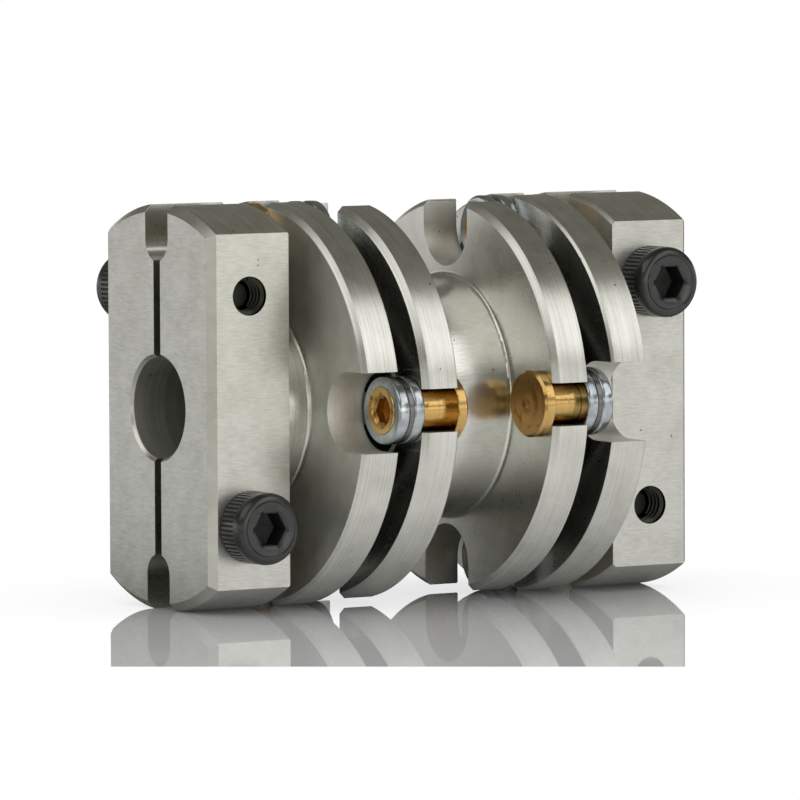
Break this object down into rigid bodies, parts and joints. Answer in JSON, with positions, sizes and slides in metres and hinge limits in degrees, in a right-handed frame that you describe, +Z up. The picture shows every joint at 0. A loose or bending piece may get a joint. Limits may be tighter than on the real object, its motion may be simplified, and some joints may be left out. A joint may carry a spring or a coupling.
{
  "type": "flexible shaft coupling",
  "caption": "Double disc flexible shaft coupling with split clamp hubs, a flanged centre spool, riveted thin disc packs and socket head clamp screws.",
  "frame": {"origin": "middle of the coupling, on the shaft axis", "axes": "+X along the shaft axis from the left hub to the right hub, -Y towards the front flats of the hubs, +Z up with the coupling lying on its side"},
  "size_m": [0.0448, 0.0318, 0.0318],
  "materials": {
    "turned_aluminium": "turned and milled, satin",
    "brass": "machined, bright",
    "zinc_plate": "bright zinc plating with a blue tint",
    "spring_steel": "rolled stainless sheet",
    "black_oxide": "black oxide, slightly oily"
  },
  "bodies": {
    "spool": {"centre_spool": "turned_aluminium", "left_front_rivet": "brass", "left_front_washer_spool_side": "zinc_plate", "left_front_washer_hub_side": "zinc_plate", "left_back_rivet": "brass", "left_back_washer_spool_side": "zinc_plate", "left_back_washer_hub_side": "zinc_plate", "right_front_rivet": "brass", "right_front_washer_spool_side": "zinc_plate", "right_front_washer_hub_side": "zinc_plate", "right_back_rivet": "brass", "right_back_washer_spool_side": "zinc_plate", "right_back_washer_hub_side": "zinc_plate"},
    "left_hub": {"left_clamp_hub": "turned_aluminium", "left_clamp_screw_front": "black_oxide", "left_clamp_screw_back": "black_oxide", "left_top_rivet": "brass", "left_top_washer_spool_side": "zinc_plate", "left_top_washer_hub_side": "zinc_plate", "left_bottom_rivet": "brass", "left_bottom_washer_spool_side": "zinc_plate", "left_bottom_washer_hub_side": "zinc_plate"},
    "left_pack_spool_side": {"left_disc_lamination_1": "spring_steel"},
    "left_pack_hub_side": {"left_disc_lamination_2": "spring_steel", "left_disc_lamination_3": "spring_steel"},
    "right_hub": {"right_clamp_hub": "turned_aluminium", "right_clamp_screw_front": "black_oxide", "right_clamp_screw_back": "black_oxide", "right_top_rivet": "brass", "right_top_washer_spool_side": "zinc_plate", "right_top_washer_hub_side": "zinc_plate", "right_bottom_rivet": "brass", "right_bottom_washer_spool_side": "zinc_plate", "right_bottom_washer_hub_side": "zinc_plate"},
    "right_pack_spool_side": {"right_disc_lamination_1": "spring_steel"},
    "right_pack_hub_side": {"right_disc_lamination_2": "spring_steel", "right_disc_lamination_3": "spring_steel"}
  },
  "joints": [
    {"name": "left_axial_float", "type": "slide", "parent": "spool", "child": "left_pack_spool_side", "axis": [1, 0, 0], "range_m": [-0.0002, 0.0002], "stiffness_N_per_m": 1500, "deforming": ["left_disc_lamination_1"]},
    {"name": "left_tilt_about_y", "type": "hinge", "parent": "left_pack_spool_side", "child": "left_pack_hub_side", "pos_m": [-0.00885, 0, 0], "axis": [0, 1, 0], "range_deg": [-1, 1], "stiffness_Nm_per_rad": 0.3, "deforming": ["left_disc_lamination_1", "left_disc_lamination_2", "left_disc_lamination_3"]},
    {"name": "left_tilt_about_z", "type": "hinge", "parent": "left_pack_hub_side", "child": "left_hub", "pos_m": [-0.00885, 0, 0], "axis": [0, 0, 1], "range_deg": [-1, 1], "stiffness_Nm_per_rad": 0.3, "deforming": ["left_disc_lamination_2", "left_disc_lamination_3"]},
    {"name": "right_axial_float", "type": "slide", "parent": "spool", "child": "right_pack_spool_side", "axis": [1, 0, 0], "range_m": [-0.0002, 0.0002], "stiffness_N_per_m": 1500, "deforming": ["right_disc_lamination_1"]},
    {"name": "right_tilt_about_y", "type": "hinge", "parent": "right_pack_spool_side", "child": "right_pack_hub_side", "pos_m": [0.00885, 0, 0], "axis": [0, 1, 0], "range_deg": [-1, 1], "stiffness_Nm_per_rad": 0.3, "deforming": ["right_disc_lamination_1", "right_disc_lamination_2", "right_disc_lamination_3"]},
    {"name": "right_tilt_about_z", "type": "hinge", "parent": "right_pack_hub_side", "child": "right_hub", "pos_m": [0.00885, 0, 0], "axis": [0, 0, 1], "range_deg": [-1, 1], "stiffness_Nm_per_rad": 0.3, "deforming": ["right_disc_lamination_2", "right_disc_lamination_3"]}
  ]
}
